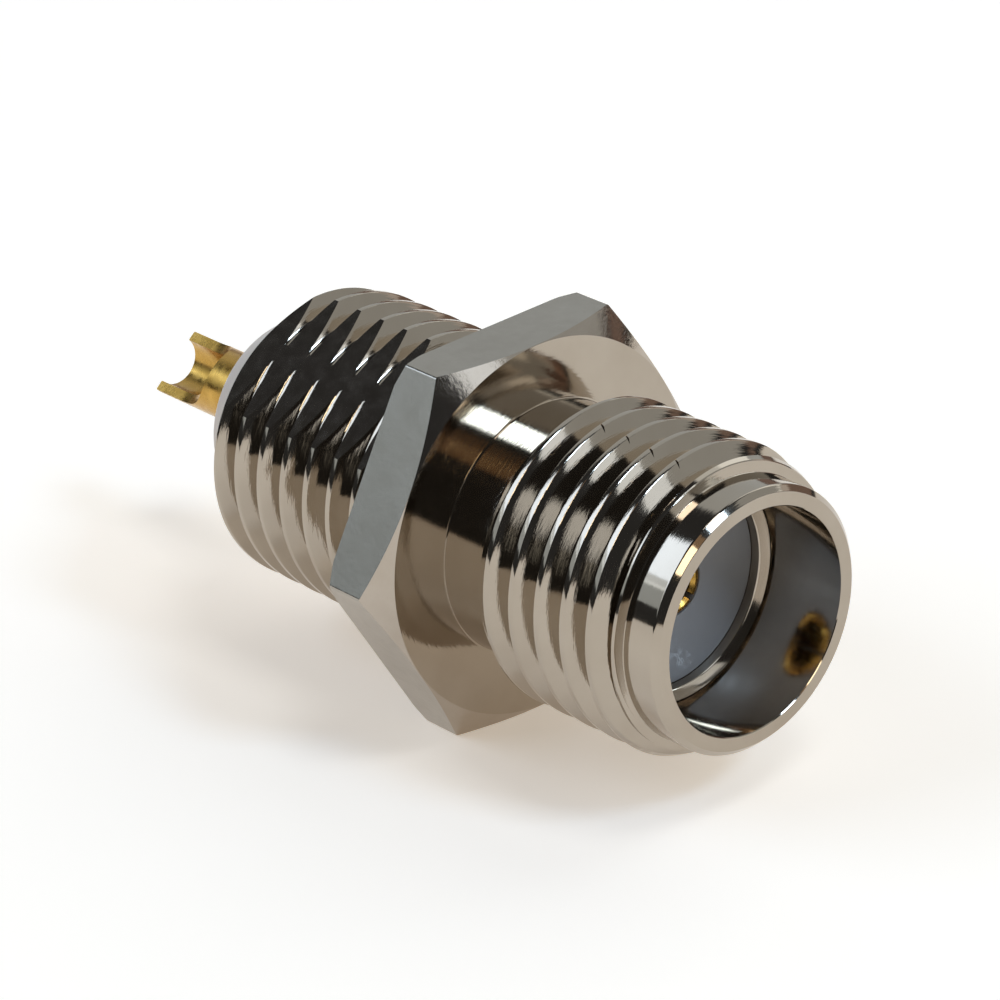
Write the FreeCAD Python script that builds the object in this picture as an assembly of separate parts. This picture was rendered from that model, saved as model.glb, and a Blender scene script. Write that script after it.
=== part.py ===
import FreeCAD, Part
import math
import os

# Coaxial threaded jack for panel mounting, with a solder cup at the back.
# Own frame: millimetres, X along the connector's axis with the mating end towards +X,
# origin on the axis in the plane of the flange's rear (panel) face, +Z square to the
# hexagon's top flat. Every number below is in millimetres or degrees.

# ---- hexagonal flange ----
FLANGE_AF = 7.90            # across the flats
FLANGE_T = 1.34             # thickness
FRONT_CHAMFER_R = 3.94      # circle where the front chamfer meets the flat face
REAR_CHAMFER_R = 4.35       # circle where the rear chamfer meets the panel face
CHAMFER_DEG = 30.0          # both chamfers, measured from the face

# ---- 1/4-36 threads, drawn as their crest cylinders ----
PITCH = 0.7056
CREST_R = 3.150
RELIEF_R = 2.660            # plain neck between the flange and the front thread
THREAD_X0 = 2.36            # end of the neck, where a 45 degree chamfer starts
THREAD_X1 = 5.95            # last full crest
REAR_CHAMFER_X0 = -5.12     # rear thread's 45 degree end chamfer starts here
SHELL_REAR_X = -5.63        # rear end of the shell
SHELL_REAR_R = 2.64

# ---- milled flat on the rear thread ----
FLAT_FROM_AXIS = 2.73
FLAT_AZIMUTH = 121.2        # direction of the flat's normal, from +Y towards +Z

# ---- nose and bore of the mating end ----
NOSE_X0 = 6.36
FACE_X = 7.23
NOSE_R = 2.72
FACE_R = 2.63
BORE_R = 2.315
SHOULDER_X = 5.33           # outer edge of the outer conductor's contact face at the bore's bottom
SHOULDER_DEG = 20.0         # that face is dished, lower towards the axis
INSULATOR_R = 2.08          # bore inside and behind that face, and both insulators' bodies

# ---- insulators ----
FRONT_INS_FACE_X = 5.04     # recessed behind the shoulder, level with the contact
INS_SPLIT_X = -0.20         # the front insulator's rear face
COLLAR_LEN = 0.60
REAR_INS_X = -6.50          # stands out behind the shell

# ---- centre contact ----
SOCKET_FACE_X = 5.05
SOCKET_R = 0.635
SOCKET_BORE_R = 0.465
SOCKET_DEPTH = 2.40
SLOT_W = 0.12
SLOT_LEN = 1.90
SLOTS = 4
FINGER_ROOM_R = 0.66        # room for the fingers to spread
FINGER_ROOM_X = 3.00
COLLAR_R = 0.98
CUP_R = 0.755
CUP_BORE_R = 0.53
CUP_END_X = -10.30
CUP_HALF_X = -9.50          # the wall is cut down to the axis from the end to here
CUP_SCOOP_R = 1.22          # radius of the cutter that rounds the end of the cutaway
CUP_BORE_X = -7.40          # bottom of the cup
CUP_AZIMUTH = 130.0         # direction that the cutaway faces, from +Y towards +Z

X = FreeCAD.Vector(1, 0, 0)
O = FreeCAD.Vector(0, 0, 0)


def turned(points):
    """Closed solid of revolution about X from (x, r) corners."""
    pts = [FreeCAD.Vector(x, 0, r) for x, r in points]
    wire = Part.makePolygon(pts + [pts[0]])
    solid = Part.Face(wire).revolve(O, X, 360)
    return Part.Solid(solid) if solid.ShapeType != "Solid" else solid


def rod(x0, x1, r):
    return Part.makeCylinder(r, x1 - x0, FreeCAD.Vector(x0, 0, 0), X)


def block(x0, x1, half_w, lo, hi, azimuth):
    """Box from x0 to x1 whose local height direction points along the azimuth."""
    b = Part.makeBox(x1 - x0, 2 * half_w, hi - lo, FreeCAD.Vector(x0, -half_w, lo))
    b.rotate(O, X, azimuth - 90.0)
    return b


def hex_prism(x0, x1, af):
    r = af / math.sqrt(3.0)
    pts = []
    for k in range(6):
        a = math.radians(60.0 * k)
        pts.append(FreeCAD.Vector(x0, r * math.cos(a), r * math.sin(a)))
    wire = Part.makePolygon(pts + [pts[0]])
    return Part.Face(wire).extrude(FreeCAD.Vector(x1 - x0, 0, 0))


def save(shape, node):
    shape = shape.removeSplitter()
    solids = shape.Solids
    assert len(solids) == 1, (node, len(solids))
    assert solids[0].isValid(), node
    solids[0].exportStep("parts/%s.step" % node)
    c = solids[0].CenterOfMass
    print("%-16s volume %8.3f mm3  centre of mass x %6.3f" % (node, solids[0].Volume, c.x))
    return solids[0]


os.makedirs("parts", exist_ok=True)

# ---- shell: one turned piece ----
tan_c = math.tan(math.radians(CHAMFER_DEG))
# the two chamfer cones cross outside the corners
cross_r = (FLANGE_T / tan_c + REAR_CHAMFER_R + FRONT_CHAMFER_R) / 2.0
cross_x = (cross_r - REAR_CHAMFER_R) * tan_c
envelope = turned([(0.0, 0.0), (0.0, REAR_CHAMFER_R), (cross_x, cross_r),
                   (FLANGE_T, FRONT_CHAMFER_R), (FLANGE_T, 0.0)])
flange = hex_prism(0.0, FLANGE_T, FLANGE_AF).common(envelope)

front = turned([
    (FLANGE_T - 0.4, 0.0), (FLANGE_T - 0.4, RELIEF_R), (THREAD_X0, RELIEF_R),
    (THREAD_X0 + CREST_R - RELIEF_R, CREST_R), (THREAD_X1, CREST_R),
    (THREAD_X1 + 0.31, 2.96), (NOSE_X0, NOSE_R), (FACE_X - 0.10, NOSE_R),
    (FACE_X, FACE_R), (FACE_X, 0.0),
])
rear = turned([
    (0.4, 0.0), (0.4, CREST_R), (REAR_CHAMFER_X0, CREST_R),
    (SHELL_REAR_X, SHELL_REAR_R), (SHELL_REAR_X, 0.0),
])
flat_tool = block(SHELL_REAR_X - 1.0, 0.0, 4.0, FLAT_FROM_AXIS, 5.0, FLAT_AZIMUTH)
rear = rear.cut(flat_tool)

bores = rod(SHOULDER_X, FACE_X + 1.0, BORE_R)
dish = (BORE_R - INSULATOR_R) * math.tan(math.radians(SHOULDER_DEG))
bores = bores.fuse(turned([
    (SHELL_REAR_X - 1.0, 0.0), (SHELL_REAR_X - 1.0, INSULATOR_R),
    (SHOULDER_X - dish, INSULATOR_R), (SHOULDER_X, BORE_R), (SHOULDER_X + 0.1, BORE_R),
    (SHOULDER_X + 0.1, 0.0),
]))
shell = flange.fuse(front).fuse(rear).cut(bores)
shell = save(shell, "shell")

# ---- front insulator: pressed into the shell, with room for the fingers in its front ----
front_ins = turned([
    (INS_SPLIT_X, SOCKET_R), (INS_SPLIT_X, INSULATOR_R),
    (FRONT_INS_FACE_X, INSULATOR_R), (FRONT_INS_FACE_X, FINGER_ROOM_R),
    (FINGER_ROOM_X, FINGER_ROOM_R), (FINGER_ROOM_X, SOCKET_R),
])
front_ins = save(front_ins, "front_insulator")

# ---- rear insulator: takes the contact's collar in its front face ----
rear_ins = turned([
    (REAR_INS_X, CUP_R), (REAR_INS_X, INSULATOR_R), (INS_SPLIT_X, INSULATOR_R),
    (INS_SPLIT_X, COLLAR_R), (INS_SPLIT_X - COLLAR_LEN, COLLAR_R),
    (INS_SPLIT_X - COLLAR_LEN, CUP_R),
])
rear_ins = save(rear_ins, "rear_insulator")

# ---- centre contact: socket, collar and solder cup turned from one rod ----
contact = turned([
    (CUP_END_X, 0.0), (CUP_END_X, CUP_R), (INS_SPLIT_X - COLLAR_LEN, CUP_R),
    (INS_SPLIT_X - COLLAR_LEN, COLLAR_R), (INS_SPLIT_X, COLLAR_R),
    (INS_SPLIT_X, SOCKET_R), (SOCKET_FACE_X - 0.06, SOCKET_R),
    (SOCKET_FACE_X, SOCKET_R - 0.05), (SOCKET_FACE_X, 0.0),
])
socket_bore = turned([
    (SOCKET_FACE_X - SOCKET_DEPTH - 0.25, 0.0), (SOCKET_FACE_X - SOCKET_DEPTH, SOCKET_BORE_R),
    (SOCKET_FACE_X - 0.07, SOCKET_BORE_R), (SOCKET_FACE_X + 0.03, SOCKET_BORE_R + 0.10),
    (SOCKET_FACE_X + 0.03, 0.0),
])
contact = contact.cut(socket_bore)
for k in range(SLOTS // 2):
    contact = contact.cut(block(SOCKET_FACE_X - SLOT_LEN, SOCKET_FACE_X + 0.5,
                                SLOT_W / 2, -1.0, 1.0, 45.0 + 90.0 * k))
cup_bore = turned([
    (CUP_END_X - 0.1, 0.0), (CUP_END_X - 0.1, CUP_BORE_R), (CUP_BORE_X, CUP_BORE_R),
    (CUP_BORE_X + 0.30, 0.0),
])
contact = contact.cut(cup_bore)
contact = contact.cut(block(CUP_END_X - 0.5, CUP_HALF_X, 1.5, 0.0, 3.0, CUP_AZIMUTH))
scoop = Part.makeCylinder(CUP_SCOOP_R, 4.0, FreeCAD.Vector(CUP_HALF_X, -2.0, CUP_SCOOP_R),
                          FreeCAD.Vector(0, 1, 0))
scoop.rotate(O, X, CUP_AZIMUTH - 90.0)
contact = contact.cut(scoop)
contact = save(contact, "center_contact")

parts = [shell, front_ins, rear_ins, contact]
density = [8.5, 2.2, 2.2, 8.3]      # g/cm3: brass, PTFE, PTFE, beryllium copper
mass = sum(s.Volume * d for s, d in zip(parts, density)) / 1000.0
cx = sum(s.Volume * d * s.CenterOfMass.x for s, d in zip(parts, density)) / 1000.0 / mass
print("mass %.3f g, centre of mass x %.3f mm" % (mass, cx))
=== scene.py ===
import math

import bmesh
import bpy
import numpy as np
from mathutils import Matrix, Vector


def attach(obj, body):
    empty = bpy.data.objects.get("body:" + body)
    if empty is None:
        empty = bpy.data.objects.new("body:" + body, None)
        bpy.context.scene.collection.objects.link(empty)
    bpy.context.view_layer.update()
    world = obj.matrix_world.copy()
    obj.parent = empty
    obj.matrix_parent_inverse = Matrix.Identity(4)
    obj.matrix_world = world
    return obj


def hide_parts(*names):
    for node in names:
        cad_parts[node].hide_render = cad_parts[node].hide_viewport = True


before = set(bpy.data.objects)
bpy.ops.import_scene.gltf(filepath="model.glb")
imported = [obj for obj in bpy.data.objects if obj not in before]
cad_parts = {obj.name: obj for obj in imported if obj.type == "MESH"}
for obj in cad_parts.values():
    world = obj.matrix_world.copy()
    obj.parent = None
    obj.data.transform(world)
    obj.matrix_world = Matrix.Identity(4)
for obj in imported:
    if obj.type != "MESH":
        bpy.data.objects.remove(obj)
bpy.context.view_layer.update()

# ------------------------------------------------------------------ dimensions, mm
PITCH = 0.7056
CREST_R = 3.150
ROOT_R = 2.735
FLANGE_AF = 7.90
FLANGE_T = 1.34
FRONT_CHAMFER_R = 3.94
REAR_CHAMFER_R = 4.35
RELIEF_R = 2.660
THREAD_X0 = 2.36
THREAD_X1 = 5.95
SHELL_REAR_X = -5.63
SHELL_REAR_R = 2.64
REAR_CHAMFER_X0 = -5.12
FLAT_FROM_AXIS = 2.73
FLAT_AZ = 121.2
NOSE_X0 = 6.36
FACE_X = 7.23
NOSE_R = 2.72
FACE_R = 2.60
BORE_R = 2.315
SHOULDER_X = 5.33
SHOULDER_DEG = 20.0
INSULATOR_R = 2.08
FRONT_INS_FACE_X = 5.04
INS_SPLIT_X = -0.20
COLLAR_LEN = 0.60
REAR_INS_X = -6.50
SOCKET_FACE_X = 5.05
SOCKET_R = 0.635
SOCKET_BORE_R = 0.465
SOCKET_DEPTH = 2.40
SLOT_W = 0.12
SLOT_LEN = 1.90
FINGER_ROOM_R = 0.66
FINGER_ROOM_X = 3.00
COLLAR_R = 0.98
CUP_R = 0.755
CUP_BORE_R = 0.53
CUP_END_X = -10.30
CUP_HALF_X = -9.50
CUP_SCOOP_R = 1.22
CUP_BORE_X = -7.40
CUP_AZ = 130.0

FRONT_CREST_X = 2.8426 - PITCH * 69.0 / 360.0      # crest position at azimuth 0
REAR_CREST_X = -5.462


# ------------------------------------------------------------------ mesh helpers (mm)
def scene_object(name, mesh):
    o = bpy.data.objects.new(name, mesh)
    bpy.context.scene.collection.objects.link(o)
    return o


def from_bmesh(name, bm):
    bmesh.ops.remove_doubles(bm, verts=bm.verts, dist=1e-5)
    bmesh.ops.dissolve_degenerate(bm, edges=bm.edges, dist=1e-6)
    bmesh.ops.recalc_face_normals(bm, faces=bm.faces)
    mesh = bpy.data.meshes.new(name)
    bm.to_mesh(mesh)
    bm.free()
    return scene_object(name, mesh)


def skin(bm, rows, close_rows):
    """Quads between successive rows of points; close_rows joins the last row to the first."""
    vs = [[bm.verts.new(p) for p in row] for row in rows]
    n = len(vs)
    for j in range(n if close_rows else n - 1):
        a, b = vs[j], vs[(j + 1) % n]
        for k in range(len(a) - 1):
            bm.faces.new((a[k], a[k + 1], b[k + 1], b[k]))
    return vs


def fill_ends(bm):
    bmesh.ops.remove_doubles(bm, verts=bm.verts, dist=1e-5)
    bmesh.ops.dissolve_degenerate(bm, edges=bm.edges, dist=1e-6)
    edges = [e for e in bm.edges if e.is_boundary]
    bmesh.ops.holes_fill(bm, edges=edges, sides=0)


def azimuths(n, extra=()):
    a = [360.0 * j / n for j in range(n)]
    for e in extra:
        a = [v for v in a if abs((v - e + 180) % 360 - 180) > 0.75]
        a += [(e + d) % 360 for d in (-0.6, -0.38, -0.18, 0.0, 0.18, 0.38, 0.6)]
    return sorted(a)


def turned(name, profile, n=256, extra=()):
    """Solid of revolution about X. profile is a list of (x, r), or a function of azimuth that gives one."""
    bm = bmesh.new()
    rows = []
    for a in azimuths(n, extra):
        t = math.radians(a)
        pts = profile(a) if callable(profile) else profile
        rows.append([(x, r * math.cos(t), r * math.sin(t)) for x, r in pts])
    skin(bm, rows, True)
    fill_ends(bm)
    return from_bmesh(name, bm)


def ring(name, profile, n=192):
    """Closed profile turned about X, with a hole along the axis."""
    bm = bmesh.new()
    rows = []
    for a in azimuths(n):
        t = math.radians(a)
        pts = profile + profile[:1]
        rows.append([(x, r * math.cos(t), r * math.sin(t)) for x, r in pts])
    skin(bm, rows, True)
    return from_bmesh(name, bm)


def block(name, x0, x1, half_w, lo, hi, azimuth):
    bm = bmesh.new()
    a = math.radians(azimuth)
    n = Vector((0, math.cos(a), math.sin(a)))
    t = Vector((0, -math.sin(a), math.cos(a)))
    pts = []
    for x in (x0, x1):
        for s, h in ((-half_w, lo), (half_w, lo), (half_w, hi), (-half_w, hi)):
            pts.append(bm.verts.new(Vector((x, 0, 0)) + t * s + n * h))
    bm.faces.new(pts[0:4])
    bm.faces.new(pts[4:8])
    for k in range(4):
        bm.faces.new((pts[k], pts[(k + 1) % 4], pts[4 + (k + 1) % 4], pts[4 + k]))
    return from_bmesh(name, bm)


def cross_roller(name, x, h, radius, half_len, azimuth, n=96):
    """Cylinder lying across the connector's axis."""
    a = math.radians(azimuth)
    nn = Vector((0, math.cos(a), math.sin(a)))
    t = Vector((0, -math.sin(a), math.cos(a)))
    bm = bmesh.new()
    rows = []
    for j in range(n):
        q = 2 * math.pi * j / n
        c = Vector((x, 0, 0)) + nn * h + Vector((1, 0, 0)) * radius * math.cos(q) + nn * radius * math.sin(q)
        rows.append([c - t * half_len, c + t * half_len])
    skin(bm, rows, True)
    fill_ends(bm)
    return from_bmesh(name, bm)


def boolean(base, other, op):
    m = base.modifiers.new("b", "BOOLEAN")
    m.operation = op
    m.solver = "EXACT"
    m.object = other
    dg = bpy.context.evaluated_depsgraph_get()
    dg.update()
    mesh = bpy.data.meshes.new_from_object(base.evaluated_get(dg))
    base.modifiers.clear()
    old = base.data
    base.data = mesh
    bpy.data.meshes.remove(old)
    gone = other.data
    bpy.data.objects.remove(other, do_unlink=True)
    bpy.data.meshes.remove(gone)
    return base


# one turn of the thread form: (share of the pitch from the crest's middle, radius)
def thread_form():
    hc = 0.060 / PITCH              # half of the crest's flat
    depth = CREST_R - ROOT_R
    flank = depth * math.tan(math.radians(30.5)) / PITCH
    half = [(0.0, CREST_R), (hc - 0.016, CREST_R), (hc - 0.006, CREST_R - 0.001),
            (hc + 0.004, CREST_R - 0.008)]
    for s in (0.06, 0.30, 0.54, 0.76, 0.90):
        half.append((hc + flank * s, CREST_R - depth * s))
    half += [(hc + flank - 0.014, ROOT_R + 0.020), (hc + flank + 0.008, ROOT_R + 0.004),
             (0.5, ROOT_R)]
    right = half[:-1]
    left = [(1.0 - p, r) for p, r in reversed(half[1:])]
    return right + left


FORM = thread_form()
FORM_P = np.array([p for p, r in FORM] + [1.0])
FORM_R = np.array([r for p, r in FORM] + [FORM[0][1]])


def thread_rod(name, xa, xb, crest_x, n=320):
    """Right-hand screw rod between the planes xa and xb, with flat ends."""
    k0 = math.floor((xa - crest_x) / PITCH) - 2
    k1 = math.ceil((xb - crest_x) / PITCH) + 1
    u = np.concatenate([(k + FORM_P[:-1]) for k in range(k0, k1)])
    bm = bmesh.new()
    rows = []
    for j in range(n + 1):
        f = j / n
        x = np.clip(crest_x + PITCH * (u + f), xa, xb)
        ph = np.mod((x - crest_x) / PITCH - f, 1.0)
        r = np.interp(ph, FORM_P, FORM_R)
        t = 2 * math.pi * (f % 1.0)
        c, s = math.cos(t), math.sin(t)
        rows.append([(float(a), float(b) * c, float(b) * s) for a, b in zip(x, r)])
    skin(bm, rows, False)
    fill_ends(bm)
    return from_bmesh(name, bm)


# ------------------------------------------------------------------ shell
TAN30 = math.tan(math.radians(30.0))


def hub_profile(a):
    d = (a + 30.0) % 60.0 - 30.0                    # from the nearest corner
    r = (FLANGE_AF / 2) / math.cos(math.radians(30.0 - abs(d)))
    r = min(r, FLANGE_AF / math.sqrt(3.0) - 0.012)
    rear = max(0.0, (r - REAR_CHAMFER_R) * TAN30)
    front = FLANGE_T - max(0.0, (r - FRONT_CHAMFER_R) * TAN30)
    return [
        (0.0, min(REAR_CHAMFER_R, r)), (rear, r), (front, r), (FLANGE_T, min(FRONT_CHAMFER_R, r)),
        (FLANGE_T, RELIEF_R + 0.045), (FLANGE_T, RELIEF_R + 0.012), (FLANGE_T + 0.004, RELIEF_R + 0.004),
        (FLANGE_T + 0.012, RELIEF_R), (FLANGE_T + 0.045, RELIEF_R),
        (THREAD_X0 - 0.03, RELIEF_R), (4.2, RELIEF_R), (NOSE_X0 - 0.10, RELIEF_R),
        (NOSE_X0 - 0.10, 2.90), (NOSE_X0 - 0.02, 2.90),
        (NOSE_X0 + 0.040, NOSE_R + 0.008), (NOSE_X0 + 0.055, NOSE_R), (NOSE_X0 + 0.085, NOSE_R),
        (FACE_X - 0.145, NOSE_R), (FACE_X - 0.118, NOSE_R), (FACE_X - 0.110, NOSE_R - 0.004),
        (FACE_X - 0.095, NOSE_R - 0.019), (FACE_X - 0.025, FACE_R + 0.024), (FACE_X - 0.010, FACE_R + 0.009),
        (FACE_X - 0.003, FACE_R + 0.002), (FACE_X, FACE_R - 0.006),
    ]


shell = turned("shell_turned", hub_profile, 256, extra=[60.0 * k for k in range(6)])

rear = thread_rod("rear_thread", -6.0, 0.25, REAR_CREST_X)
rear = boolean(rear, turned("env_rear", [
    (SHELL_REAR_X, SHELL_REAR_R - 0.012), (SHELL_REAR_X + 0.010, SHELL_REAR_R + 0.004),
    (REAR_CHAMFER_X0, CREST_R), (REAR_CHAMFER_X0 + 0.08, CREST_R + 0.08), (0.5, CREST_R + 0.08)], 256),
    "INTERSECT")
rear = boolean(rear, block("flat", -6.5, 0.0, 4.0, FLAT_FROM_AXIS, 6.0, FLAT_AZ), "DIFFERENCE")
shell = boolean(shell, rear, "UNION")

front = thread_rod("front_thread", 2.0, 6.7, FRONT_CREST_X)
front = boolean(front, turned("env_front", [
    (THREAD_X0 - 0.20, 2.45), (THREAD_X0, RELIEF_R - 0.004), (THREAD_X0 + 0.54, CREST_R + 0.045),
    (THREAD_X0 + 0.60, CREST_R + 0.05),
    (THREAD_X1 - 0.10, CREST_R + 0.05), (THREAD_X1, CREST_R), (THREAD_X1 + 0.25, 3.005),
    (NOSE_X0 - 0.012, 2.955), (NOSE_X0 + 0.004, 2.935), (NOSE_X0 + 0.035, 2.74), (NOSE_X0 + 0.045, 2.60)], 256),
    "INTERSECT")


def nicks(name, places):
    """Small slanted cuts over a crest: (x, azimuth, depth) of each."""
    bm = bmesh.new()
    for x, az, depth in places:
        a = math.radians(az)
        n = Vector((0, math.cos(a), math.sin(a)))
        t = Vector((0, -math.sin(a), math.cos(a)))
        d = (Vector((0.91, 0, 0)) + t * 0.40).normalized()
        w = n.cross(d).normalized()
        c = Vector((x, 0, 0)) + n * (CREST_R - depth)
        low = [c - d * 0.15 + n * 0.02, c + d * 0.22 - n * 0.10]
        top = [v + n * 0.3 for v in low]
        vs = []
        for base, up in zip(low, top):
            vs.append([bm.verts.new(v) for v in (base, up - w * 0.075, up + w * 0.075)])
        bm.faces.new(vs[0])
        bm.faces.new(vs[1])
        for k in range(3):
            bm.faces.new((vs[0][k], vs[0][(k + 1) % 3], vs[1][(k + 1) % 3], vs[1][k]))
    return from_bmesh(name, bm)


front = boolean(front, nicks("nicks", [
    (3.64, 98.2, 0.050), (4.35, 98.7, 0.042), (5.06, 99.9, 0.055), (5.77, 100.2, 0.048)]), "DIFFERENCE")
shell = boolean(shell, front, "UNION")

DISH_TAN = math.tan(math.radians(SHOULDER_DEG))


def dish_x(r):
    return SHOULDER_X - (BORE_R - r) * DISH_TAN


bore = turned("bore", [
    (-7.0, INSULATOR_R), (5.10, INSULATOR_R), (dish_x(INSULATOR_R) - 0.014, INSULATOR_R),
    (dish_x(INSULATOR_R) - 0.004, INSULATOR_R + 0.003), (dish_x(INSULATOR_R + 0.014), INSULATOR_R + 0.014),
    (dish_x(INSULATOR_R + 0.035), INSULATOR_R + 0.035), (dish_x(BORE_R - 0.020), BORE_R - 0.020),
    (SHOULDER_X, BORE_R), (SHOULDER_X + 0.006, BORE_R + 0.022), (SHOULDER_X + 0.050, BORE_R + 0.022),
    (SHOULDER_X + 0.062, BORE_R), (SHOULDER_X + 0.09, BORE_R),
    (FACE_X - 0.045, BORE_R), (FACE_X - 0.016, BORE_R), (FACE_X + 0.004, BORE_R + 0.020),
    (FACE_X + 0.2, BORE_R + 0.22)], 256)
shell = boolean(shell, bore, "DIFFERENCE")

# ------------------------------------------------------------------ insulators
G = 0.004
front_ins = ring("ptfe_front", [
    (INS_SPLIT_X + G, SOCKET_R + G), (INS_SPLIT_X + G, INSULATOR_R - G),
    (FRONT_INS_FACE_X - 0.015, INSULATOR_R - G), (FRONT_INS_FACE_X, INSULATOR_R - G - 0.015),
    (FRONT_INS_FACE_X, FINGER_ROOM_R + 0.008), (FRONT_INS_FACE_X - 0.01, FINGER_ROOM_R),
    (FINGER_ROOM_X, FINGER_ROOM_R), (FINGER_ROOM_X, SOCKET_R + G)])
rear_ins = ring("ptfe_rear", [
    (REAR_INS_X, CUP_R + 0.02), (REAR_INS_X, INSULATOR_R - 0.07), (REAR_INS_X + 0.02, INSULATOR_R - 0.03),
    (REAR_INS_X + 0.06, INSULATOR_R - G), (INS_SPLIT_X - G, INSULATOR_R - G),
    (INS_SPLIT_X - G, COLLAR_R + G), (INS_SPLIT_X - COLLAR_LEN - G, COLLAR_R + G),
    (INS_SPLIT_X - COLLAR_LEN - G, CUP_R + G), (REAR_INS_X + 0.02, CUP_R + G)])

# ------------------------------------------------------------------ centre contact
contact = turned("contact_turned", [
    (CUP_END_X, CUP_R - 0.03), (CUP_END_X + 0.012, CUP_R - 0.008), (CUP_END_X + 0.03, CUP_R),
    (INS_SPLIT_X - COLLAR_LEN, CUP_R), (INS_SPLIT_X - COLLAR_LEN, COLLAR_R), (INS_SPLIT_X, COLLAR_R),
    (INS_SPLIT_X, SOCKET_R), (SOCKET_FACE_X - 0.06, SOCKET_R), (SOCKET_FACE_X - 0.02, SOCKET_R - 0.02),
    (SOCKET_FACE_X, SOCKET_R - 0.06)], 144)
contact = boolean(contact, turned("socket_bore", [
    (SOCKET_FACE_X - SOCKET_DEPTH - 0.25, 0.02), (SOCKET_FACE_X - SOCKET_DEPTH, SOCKET_BORE_R),
    (SOCKET_FACE_X - 0.07, SOCKET_BORE_R), (SOCKET_FACE_X + 0.03, SOCKET_BORE_R + 0.10)], 144), "DIFFERENCE")
for k in range(2):
    contact = boolean(contact, block("slot", SOCKET_FACE_X - SLOT_LEN, SOCKET_FACE_X + 0.5,
                                     1.0, -SLOT_W / 2, SLOT_W / 2, 45.0 + 90.0 * k), "DIFFERENCE")
contact = boolean(contact, turned("cup_bore", [
    (CUP_END_X - 0.1, CUP_BORE_R + 0.10), (CUP_END_X + 0.02, CUP_BORE_R), (CUP_BORE_X, CUP_BORE_R),
    (CUP_BORE_X + 0.30, 0.02)], 144), "DIFFERENCE")
contact = boolean(contact, block("half", CUP_END_X - 0.5, CUP_HALF_X, 1.5, 0.0, 2.0, CUP_AZ), "DIFFERENCE")
contact = boolean(contact, cross_roller("scoop", CUP_HALF_X, CUP_SCOOP_R, CUP_SCOOP_R, 1.5, CUP_AZ), "DIFFERENCE")


# ------------------------------------------------------------------ materials
def nodes_of(mat):
    mat.use_nodes = True
    nt = mat.node_tree
    nt.nodes.clear()
    out = nt.nodes.new("ShaderNodeOutputMaterial")
    bsdf = nt.nodes.new("ShaderNodeBsdfPrincipled")
    nt.links.new(bsdf.outputs[0], out.inputs[0])
    return nt, bsdf


def math_node(nt, op, a, b=None, clamp=False):
    n = nt.nodes.new("ShaderNodeMath")
    n.operation = op
    n.use_clamp = clamp
    for i, v in enumerate((a, b)):
        if v is None:
            continue
        if isinstance(v, (int, float)):
            n.inputs[i].default_value = v
        else:
            nt.links.new(v, n.inputs[i])
    return n.outputs[0]


def coords_mm(nt):
    tc = nt.nodes.new("ShaderNodeTexCoord")
    v = nt.nodes.new("ShaderNodeVectorMath")
    v.operation = "SCALE"
    v.inputs["Scale"].default_value = 1000.0
    nt.links.new(tc.outputs["Object"], v.inputs[0])
    return v.outputs[0]


def turned_coords(nt, p, kx, kr, ka):
    """Vector (x, radius, little azimuth) so that a noise runs round the axis as cutter marks do."""
    s = nt.nodes.new("ShaderNodeSeparateXYZ")
    nt.links.new(p, s.inputs[0])
    yy = math_node(nt, "MULTIPLY", s.outputs[1], s.outputs[1])
    zz = math_node(nt, "MULTIPLY", s.outputs[2], s.outputs[2])
    r = math_node(nt, "SQRT", math_node(nt, "ADD", yy, zz))
    c = nt.nodes.new("ShaderNodeCombineXYZ")
    nt.links.new(math_node(nt, "MULTIPLY", s.outputs[0], kx), c.inputs[0])
    nt.links.new(math_node(nt, "MULTIPLY", r, kr), c.inputs[1])
    nt.links.new(math_node(nt, "MULTIPLY", math_node(nt, "ADD", s.outputs[1], s.outputs[2]), ka), c.inputs[2])
    return c.outputs[0]


def noise(nt, vec, scale, detail=2.0, rough=0.5):
    n = nt.nodes.new("ShaderNodeTexNoise")
    n.inputs["Scale"].default_value = scale
    n.inputs["Detail"].default_value = detail
    n.inputs["Roughness"].default_value = rough
    nt.links.new(vec, n.inputs["Vector"])
    return n.outputs["Fac"]


def remap(nt, v, a, b, c, d):
    n = nt.nodes.new("ShaderNodeMapRange")
    for i, x in zip((1, 2, 3, 4), (a, b, c, d)):
        n.inputs[i].default_value = x
    nt.links.new(v, n.inputs[0])
    return n.outputs[0]


def mix_color(nt, fac, a, b):
    n = nt.nodes.new("ShaderNodeMix")
    n.data_type = "RGBA"
    nt.links.new(fac, n.inputs[0])
    for i, v in ((6, a), (7, b)):
        if isinstance(v, tuple):
            n.inputs[i].default_value = (*v, 1.0)
        else:
            nt.links.new(v, n.inputs[i])
    return n.outputs[2]


def bump(nt, height, strength, dist, normal=None):
    n = nt.nodes.new("ShaderNodeBump")
    n.inputs["Strength"].default_value = strength
    n.inputs["Distance"].default_value = dist
    nt.links.new(height, n.inputs["Height"])
    if normal is not None:
        nt.links.new(normal, n.inputs["Normal"])
    return n.outputs[0]


def nickel_turned(name, strength):
    mat = bpy.data.materials.new(name)
    nt, b = nodes_of(mat)
    b.inputs["Metallic"].default_value = 1.0
    p = coords_mm(nt)
    marks = noise(nt, turned_coords(nt, p, 1.0, 1.0, 0.11), 20.0, 3.0, 0.6)
    cloud = noise(nt, p, 0.9, 3.0, 0.5)
    nt.links.new(mix_color(nt, remap(nt, cloud, 0.3, 0.7, 0.0, 1.0), (0.428, 0.372, 0.306), (0.396, 0.340, 0.276)),
                 b.inputs["Base Color"])
    nt.links.new(remap(nt, noise(nt, p, 2.3, 4.0, 0.6), 0.3, 0.7, 0.05, 0.10), b.inputs["Roughness"])
    nt.links.new(bump(nt, marks, strength, 0.000004), b.inputs["Normal"])
    return mat


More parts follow.
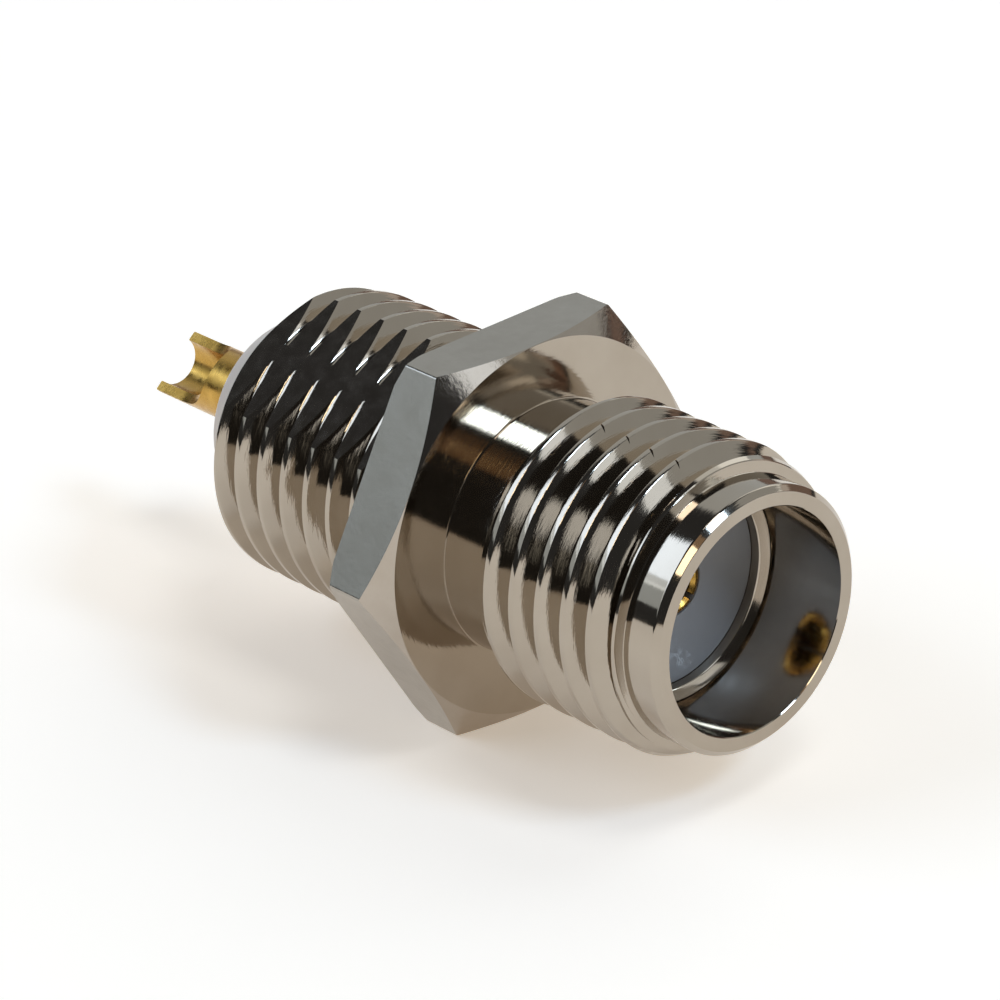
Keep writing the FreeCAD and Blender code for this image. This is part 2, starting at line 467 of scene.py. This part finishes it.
def nickel_milled(name, light, dark, r0, r1, grain, strength, dist):
    mat = bpy.data.materials.new(name)
    nt, b = nodes_of(mat)
    b.inputs["Metallic"].default_value = 1.0
    p = coords_mm(nt)
    cloud = noise(nt, p, 1.4, 4.0, 0.6)
    nt.links.new(mix_color(nt, remap(nt, cloud, 0.3, 0.7, 0.0, 1.0), light, dark),
                 b.inputs["Base Color"])
    nt.links.new(remap(nt, noise(nt, p, 3.1, 4.0, 0.6), 0.3, 0.7, r0, r1), b.inputs["Roughness"])
    nt.links.new(bump(nt, noise(nt, p, grain, 5.0, 0.6), strength, dist), b.inputs["Normal"])
    return mat


def nickel_bore():
    """Wall of the bore, smoother than the threads."""
    mat = bpy.data.materials.new("nickel_bore")
    nt, b = nodes_of(mat)
    b.inputs["Metallic"].default_value = 1.0
    p = coords_mm(nt)
    cloud = noise(nt, p, 1.6, 4.0, 0.6)
    nt.links.new(mix_color(nt, remap(nt, cloud, 0.3, 0.7, 0.0, 1.0), (0.560, 0.505, 0.440), (0.500, 0.448, 0.385)),
                 b.inputs["Base Color"])
    nt.links.new(remap(nt, noise(nt, p, 3.1, 4.0, 0.6), 0.3, 0.7, 0.08, 0.13), b.inputs["Roughness"])
    nt.links.new(bump(nt, noise(nt, turned_coords(nt, p, 1.0, 1.0, 0.05), 9.0, 2.0, 0.5), 0.2, 0.000002), b.inputs["Normal"])
    return mat


def ptfe(name, light, dark):
    mat = bpy.data.materials.new(name)
    nt, b = nodes_of(mat)
    p = coords_mm(nt)
    cloud = noise(nt, p, 1.1, 3.0, 0.5)
    nt.links.new(mix_color(nt, cloud, light, dark), b.inputs["Base Color"])
    nt.links.new(remap(nt, noise(nt, p, 5.0, 3.0, 0.5), 0.3, 0.7, 0.35, 0.5), b.inputs["Roughness"])
    nt.links.new(bump(nt, noise(nt, turned_coords(nt, p, 1.0, 1.0, 0.05), 9.0, 3.0, 0.6), 0.2, 0.00001), b.inputs["Normal"])
    return mat


def gold():
    mat = bpy.data.materials.new("gold")
    nt, b = nodes_of(mat)
    b.inputs["Metallic"].default_value = 1.0
    p = coords_mm(nt)
    cloud = noise(nt, p, 2.2, 4.0, 0.6)
    nt.links.new(mix_color(nt, remap(nt, cloud, 0.3, 0.7, 0.0, 1.0), (0.60, 0.365, 0.090), (0.45, 0.255, 0.050)),
                 b.inputs["Base Color"])
    nt.links.new(remap(nt, noise(nt, p, 6.0, 3.0, 0.5), 0.3, 0.7, 0.20, 0.34), b.inputs["Roughness"])
    nt.links.new(bump(nt, noise(nt, turned_coords(nt, p, 1.0, 1.0, 0.1), 10.0, 4.0, 0.6), 0.3, 0.000006), b.inputs["Normal"])
    return mat


# ------------------------------------------------------------------ finish the pieces
def tidy(o):
    """Merges the slivers that the cuts leave."""
    bm = bmesh.new()
    bm.from_mesh(o.data)
    bmesh.ops.remove_doubles(bm, verts=bm.verts, dist=1e-4)
    bmesh.ops.dissolve_degenerate(bm, edges=bm.edges, dist=1e-4)
    bm.to_mesh(o.data)
    bm.free()


def settle(o, name, node, mats, pick=None, angle=28.0):
    """Scales the mesh to metres, sets its materials and normals, hides the CAD part it stands in for and attaches
    it to the root body.
    """
    me = o.data
    me.materials.clear()
    for m in mats:
        me.materials.append(m)
    for p in me.polygons:
        p.material_index = pick(p) if pick else 0
    me.transform(Matrix.Scale(0.001, 4))
    me.update()
    me.polygons.foreach_set("use_smooth", [True] * len(me.polygons))
    me.set_sharp_from_angle(angle=math.radians(angle))
    o.name = name
    me.name = name
    w = o.modifiers.new("weighted", "WEIGHTED_NORMAL")
    w.keep_sharp = True
    w.weight = 50
    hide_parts(node)
    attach(o, "root")


FLAT_N = Vector((0.0, math.cos(math.radians(FLAT_AZ)), math.sin(math.radians(FLAT_AZ))))


def shell_pick(p):
    """0 turned, 1 hexagon's flats, 2 hexagon's chamfers, 3 milled flat, 4 wall of the bore, 5 finely turned."""
    c, n = p.center, p.normal
    r = math.hypot(c.y, c.z)
    if 0.0 < c.x < FLANGE_T and r > 3.9:
        return 1 if abs(n.x) < 0.01 else (2 if r > FRONT_CHAMFER_R + 0.002 else 0)
    if c.x < 0.0 and n.dot(FLAT_N) > 0.9995 and abs(c.dot(FLAT_N) - FLAT_FROM_AXIS) < 0.002:
        return 3
    if SHOULDER_X + 0.002 < c.x and r < BORE_R + 0.012 and abs(n.x) < 0.3:
        return 4
    if abs(n.x) > 0.90 or c.x > NOSE_X0 + 0.03 or (c.x > 5.1 and r < BORE_R + 0.03):
        return 5
    return 0


tidy(shell)
tidy(contact)
settle(shell, "shell_body", "shell", [
    nickel_turned("nickel_turned", 0.55),
    nickel_milled("nickel_hex", (0.395, 0.362, 0.315), (0.355, 0.322, 0.276), 0.16, 0.25, 9.0, 0.35, 0.000008),
    nickel_milled("nickel_chamfer", (0.455, 0.398, 0.338), (0.420, 0.362, 0.300), 0.06, 0.12, 9.0, 0.40, 0.000006),
    nickel_milled("nickel_flat", (0.440, 0.385, 0.325), (0.400, 0.346, 0.286), 0.07, 0.14, 12.0, 0.3, 0.000003),
    nickel_bore(), nickel_turned("nickel_fine", 0.22)], shell_pick)
# painted shade: the front insulator is the same pale PTFE as the rear one, coloured dark blue-grey for the shade
# deep in the bore
settle(front_ins, "front_insulator_sleeve", "front_insulator", [
    ptfe("ptfe_front", (0.262, 0.264, 0.276), (0.222, 0.228, 0.244))])
settle(rear_ins, "rear_insulator_sleeve", "rear_insulator", [
    ptfe("ptfe_rear", (0.79, 0.70, 0.62), (0.71, 0.62, 0.55))])
settle(contact, "contact_pin", "center_contact", [gold()], angle=32.0)

# ------------------------------------------------------------------ floor
FLOOR_Z = -0.00395
bm = bmesh.new()
n = 40
for i in range(n + 1):
    for j in range(n + 1):
        bm.verts.new(((i / n - 0.5) * 1.2, (j / n - 0.5) * 1.2, FLOOR_Z))
bm.verts.ensure_lookup_table()
for i in range(n):
    for j in range(n):
        a = i * (n + 1) + j
        bm.faces.new((bm.verts[a], bm.verts[a + n + 1], bm.verts[a + n + 2], bm.verts[a + 1]))
me = bpy.data.meshes.new("floor")
bm.to_mesh(me)
bm.free()
floor = scene_object("floor", me)
fmat = bpy.data.materials.new("floor")
nt, b = nodes_of(fmat)
b.inputs["Base Color"].default_value = (0.88, 0.86, 0.83, 1.0)
b.inputs["Roughness"].default_value = 0.9
b.inputs["Specular IOR Level"].default_value = 0.0
b.inputs["Emission Color"].default_value = (1.0, 0.87, 0.72, 1.0)
b.inputs["Emission Strength"].default_value = 0.40
me.materials.append(fmat)

# ------------------------------------------------------------------ world and lights
world = bpy.data.worlds.new("studio")
bpy.context.scene.world = world
world.use_nodes = True
bg = world.node_tree.nodes["Background"]
bg.inputs[0].default_value = (0.9, 0.95, 1.0, 1.0)
bg.inputs[1].default_value = 0.045


def panel(name, az, el, width, height, radiance, dist=0.40, roll=0.0):
    """Rectangular light seen from the origin at an azimuth and elevation; width and height in degrees."""
    d = bpy.data.lights.new(name, "AREA")
    d.shape = "RECTANGLE"
    d.size = 2 * dist * math.tan(math.radians(width / 2))
    d.size_y = 2 * dist * math.tan(math.radians(height / 2))
    top = max(radiance)
    d.color = [c / top for c in radiance]
    d.energy = math.pi * d.size * d.size_y * top
    o = bpy.data.objects.new(name, d)
    bpy.context.scene.collection.objects.link(o)
    a, e = math.radians(az), math.radians(el)
    o.location = Vector((math.cos(e) * math.cos(a), math.cos(e) * math.sin(a), math.sin(e))) * dist
    o.rotation_mode = "QUATERNION"
    q = (-o.location).to_track_quat("-Z", "Y")
    o.rotation_quaternion = q @ Matrix.Rotation(math.radians(roll), 3, "Z").to_quaternion()
    return o


panel("key", 8.0, 70.0, 16.0, 16.0, (6.5, 6.6, 6.6), 0.45)
panel("window", -131.0, 42.5, 38.0, 27.0, (1.95, 2.35, 2.90))
panel("window_foot", -131.0, 26.0, 40.0, 6.0, (1.00, 1.15, 1.30), 0.41)
panel("sill", -134.0, 18.0, 52.0, 13.0, (0.52, 0.60, 0.66), 0.42)
panel("side_soft", 92.0, 47.0, 42.0, 46.0, (0.92, 0.97, 0.98), 0.44)
panel("wall", 136.0, 31.0, 84.0, 40.0, (0.56, 0.60, 0.62), 0.46)
panel("far_wall", 52.0, 26.0, 46.0, 36.0, (0.46, 0.48, 0.48), 0.47)
panel("lamp_high", 14.0, 45.5, 13.0, 11.0, (11.0, 15.0, 20.0), 0.42, 22.0)
panel("lamp_low", 18.5, 28.0, 14.0, 21.0, (1.3, 1.45, 1.6), 0.43)
panel("spot", -20.0, 33.0, 7.0, 18.0, (4.0, 3.5, 2.6), 0.42, -48.0)
panel("warm_patch", -16.0, 42.0, 20.0, 8.0, (0.34, 0.22, 0.12), 0.44)
panel("wall_foot", 136.0, 6.0, 84.0, 9.5, (0.20, 0.125, 0.095), 0.46)
panel("side_low", 84.0, 12.5, 32.0, 20.0, (0.24, 0.16, 0.125), 0.45)
panel("low_side", 38.0, 6.0, 18.0, 9.0, (1.00, 1.10, 1.15), 0.43)

# ------------------------------------------------------------------ camera
cam = bpy.data.cameras.new("camera")
cam.sensor_width = 36.0
cam.lens = 157.371
cam.clip_start, cam.clip_end = 0.005, 10.0
co = bpy.data.objects.new("camera", cam)
bpy.context.scene.collection.objects.link(co)
right = Vector((0.67669, 0.73487, -0.04528))
up = Vector((-0.30415, 0.33502, 0.89177))
back = Vector((0.67051, -0.58968, 0.45022))
m = Matrix((right, up, back)).transposed().to_4x4()
m.translation = Vector((0.058604, -0.051486, 0.039460))
co.matrix_world = m
bpy.context.scene.camera = co

bpy.context.scene.view_settings.view_transform = "Standard"
